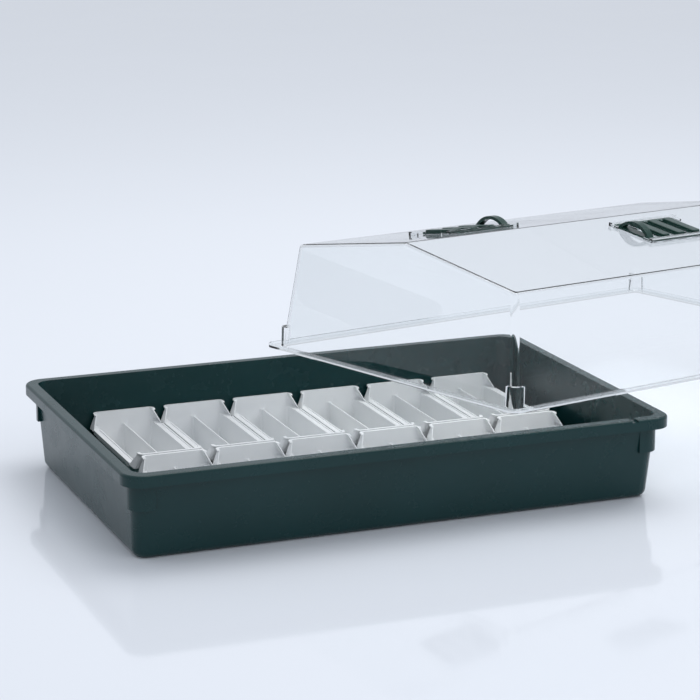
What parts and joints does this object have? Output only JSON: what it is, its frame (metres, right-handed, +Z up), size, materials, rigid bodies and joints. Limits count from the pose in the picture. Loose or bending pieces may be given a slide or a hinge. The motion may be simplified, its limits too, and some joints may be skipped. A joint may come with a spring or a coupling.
{
  "type": "humidity dome tray",
  "caption": "Deep rectangular propagating tray with a lift-off clear gabled dome, sliding slotted roof vents, and removable twin-trough seed strips.",
  "frame": {"origin": "middle of the tray's flat underside", "axes": "+Z up, +X along the tray's length, +Y across it towards the back"},
  "size_m": [0.9732, 0.5709, 0.2619],
  "materials": {
    "tray_plastic": "satin dark green moulded plastic",
    "clear_plastic": "clear, glossy",
    "vent_plastic": "satin dark green moulded plastic",
    "strip_plastic": "thin white thermoformed sheet"
  },
  "bodies": {
    "tray": {"tray": "tray_plastic"},
    "dome": {"dome": "clear_plastic"},
    "vent_slide_front": {"vent_slide_front": "vent_plastic"},
    "vent_slide_back": {"vent_slide_back": "vent_plastic"},
    "seed_strip_back_1": {"seed_strip_back_1": "strip_plastic"},
    "seed_strip_back_2": {"seed_strip_back_2": "strip_plastic"},
    "seed_strip_back_3": {"seed_strip_back_3": "strip_plastic"},
    "seed_strip_back_4": {"seed_strip_back_4": "strip_plastic"},
    "seed_strip_back_5": {"seed_strip_back_5": "strip_plastic"},
    "seed_strip_back_6": {"seed_strip_back_6": "strip_plastic"},
    "seed_strip_front_1": {"seed_strip_front_1": "strip_plastic"},
    "seed_strip_front_2": {"seed_strip_front_2": "strip_plastic"},
    "seed_strip_front_3": {"seed_strip_front_3": "strip_plastic"},
    "seed_strip_front_4": {"seed_strip_front_4": "strip_plastic"},
    "seed_strip_front_5": {"seed_strip_front_5": "strip_plastic"},
    "seed_strip_front_6": {"seed_strip_front_6": "strip_plastic"}
  },
  "joints": [
    {"name": "dome_swing", "type": "hinge", "parent": "tray", "child": "dome", "pos_m": [-0.043, 1.022, 0.093], "axis": [-0.0615, 0.1091, 0.9921], "range_deg": [-18.8, 17]},
    {"name": "vent_slide_front_slide", "type": "slide", "parent": "dome", "child": "vent_slide_front", "axis": [0.9469, 0.3194, -0.0384], "range_m": [0, 0.0125]},
    {"name": "vent_slide_back_slide", "type": "slide", "parent": "dome", "child": "vent_slide_back", "axis": [-0.9469, -0.3194, 0.0384], "range_m": [0, 0.0125]},
    {"name": "seed_strip_back_1_lift", "type": "slide", "parent": "tray", "child": "seed_strip_back_1", "axis": [0, 0, 1], "range_m": [0, 0.09]},
    {"name": "seed_strip_back_2_lift", "type": "slide", "parent": "tray", "child": "seed_strip_back_2", "axis": [0, 0, 1], "range_m": [0, 0.09]},
    {"name": "seed_strip_back_3_lift", "type": "slide", "parent": "tray", "child": "seed_strip_back_3", "axis": [0, 0, 1], "range_m": [0, 0.045]},
    {"name": "seed_strip_back_4_lift", "type": "slide", "parent": "tray", "child": "seed_strip_back_4", "axis": [0, 0, 1], "range_m": [0, 0.045]},
    {"name": "seed_strip_back_5_lift", "type": "slide", "parent": "tray", "child": "seed_strip_back_5", "axis": [0, 0, 1], "range_m": [0, 0.045]},
    {"name": "seed_strip_back_6_lift", "type": "slide", "parent": "tray", "child": "seed_strip_back_6", "axis": [0, 0, 1], "range_m": [0, 0.045]},
    {"name": "seed_strip_front_1_lift", "type": "slide", "parent": "tray", "child": "seed_strip_front_1", "axis": [0, 0, 1], "range_m": [0, 0.09]},
    {"name": "seed_strip_front_2_lift", "type": "slide", "parent": "tray", "child": "seed_strip_front_2", "axis": [0, 0, 1], "range_m": [0, 0.09]},
    {"name": "seed_strip_front_3_lift", "type": "slide", "parent": "tray", "child": "seed_strip_front_3", "axis": [0, 0, 1], "range_m": [0, 0.09]},
    {"name": "seed_strip_front_4_lift", "type": "slide", "parent": "tray", "child": "seed_strip_front_4", "axis": [0, 0, 1], "range_m": [0, 0.045]},
    {"name": "seed_strip_front_5_lift", "type": "slide", "parent": "tray", "child": "seed_strip_front_5", "axis": [0, 0, 1], "range_m": [0, 0.045]},
    {"name": "seed_strip_front_6_lift", "type": "slide", "parent": "tray", "child": "seed_strip_front_6", "axis": [0, 0, 1], "range_m": [0, 0.045]}
  ]
}
